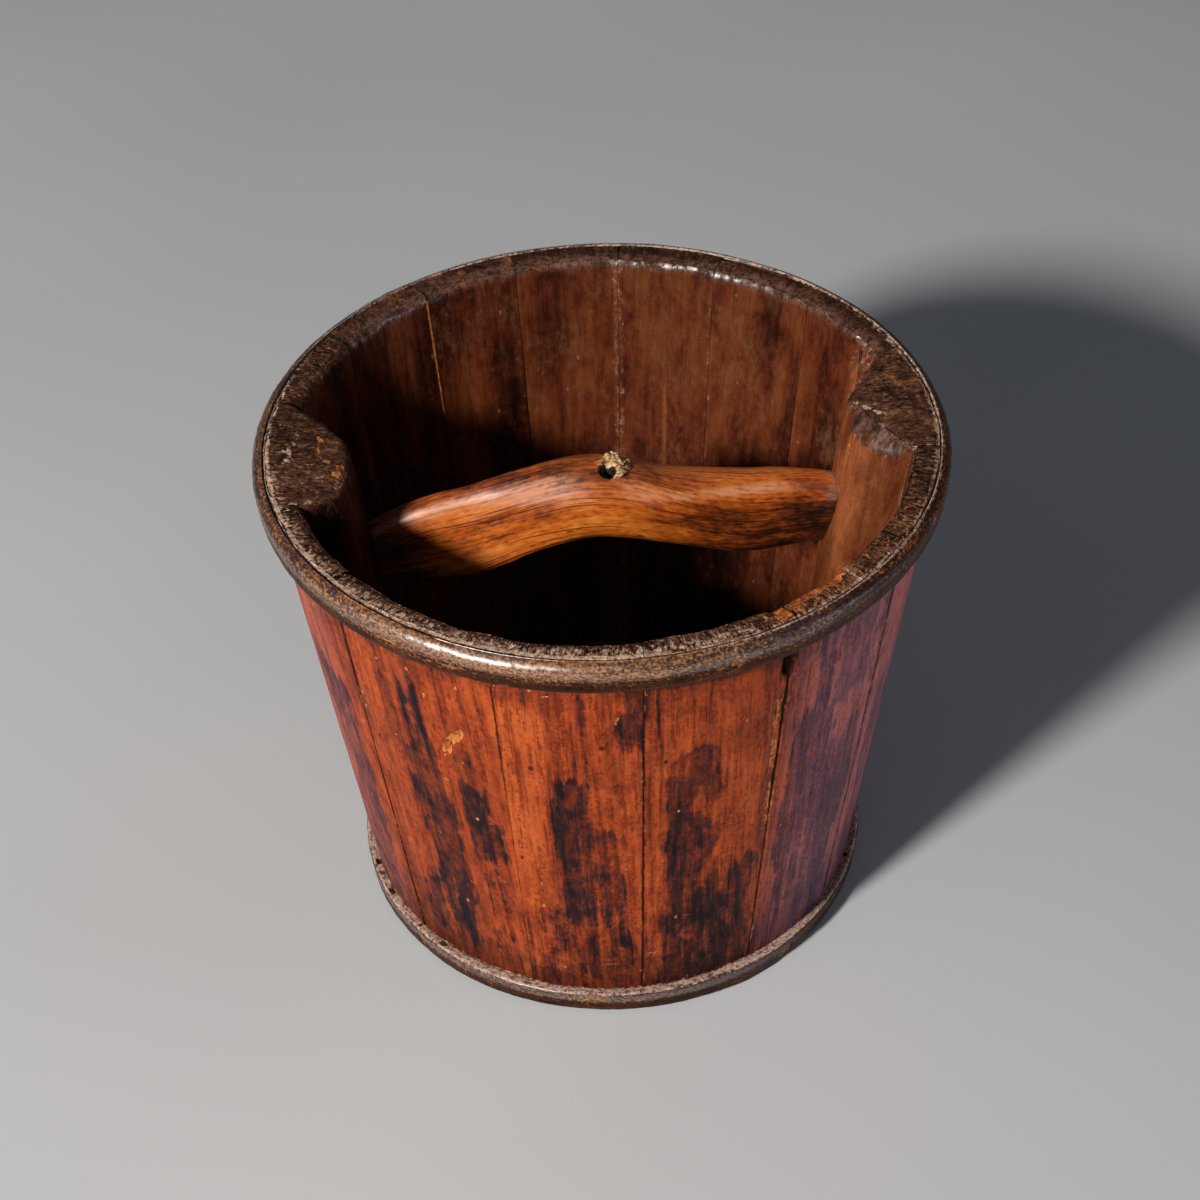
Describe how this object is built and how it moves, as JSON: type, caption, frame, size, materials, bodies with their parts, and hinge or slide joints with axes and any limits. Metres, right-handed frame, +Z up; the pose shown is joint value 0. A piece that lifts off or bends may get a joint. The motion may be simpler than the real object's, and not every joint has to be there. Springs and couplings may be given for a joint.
{
  "type": "wooden bucket",
  "caption": "Tapered stave-built wooden bucket with a rim hoop, a foot hoop, a boarded bottom and an arched bar handle let into thick handle staves across the mouth.",
  "frame": {"origin": "centre of the foot, on the surface that the bucket stands on", "axes": "+Z up, +X along the handle to the right, +Y to the back, away from the viewer"},
  "size_m": [0.3108, 0.3108, 0.252],
  "materials": {
    "lacquered_staves": "worn reddish brown lacquer over straight-grained softwood, stained dark in patches",
    "dark_hoops": "dark brown lacquer over bent split wood, satin, with dust in the joints",
    "handle_wood": "carved hardwood polished by use, honey brown, semi-gloss",
    "bottom_wood": "dull brown softwood boards, darkened by use",
    "bamboo": "bare split bamboo"
  },
  "bodies": {
    "root": {"stave_front_1": "lacquered_staves", "stave_front_2": "lacquered_staves", "stave_front_3": "lacquered_staves", "stave_front_4": "lacquered_staves", "stave_front_5": "lacquered_staves", "stave_front_6": "lacquered_staves", "stave_back_1": "lacquered_staves", "stave_back_2": "lacquered_staves", "stave_back_3": "lacquered_staves", "stave_back_4": "lacquered_staves", "stave_back_5": "lacquered_staves", "stave_back_6": "lacquered_staves", "stave_back_7": "lacquered_staves", "handle_stave_left": "lacquered_staves", "handle_stave_right": "lacquered_staves", "rim_hoop": "dark_hoops", "foot_hoop": "dark_hoops", "handle": "handle_wood", "bottom_board_1": "bottom_wood", "bottom_board_2": "bottom_wood", "bottom_board_3": "bottom_wood", "stave_dowels": "bamboo", "board_dowels": "bamboo"}
  },
  "joints": []
}
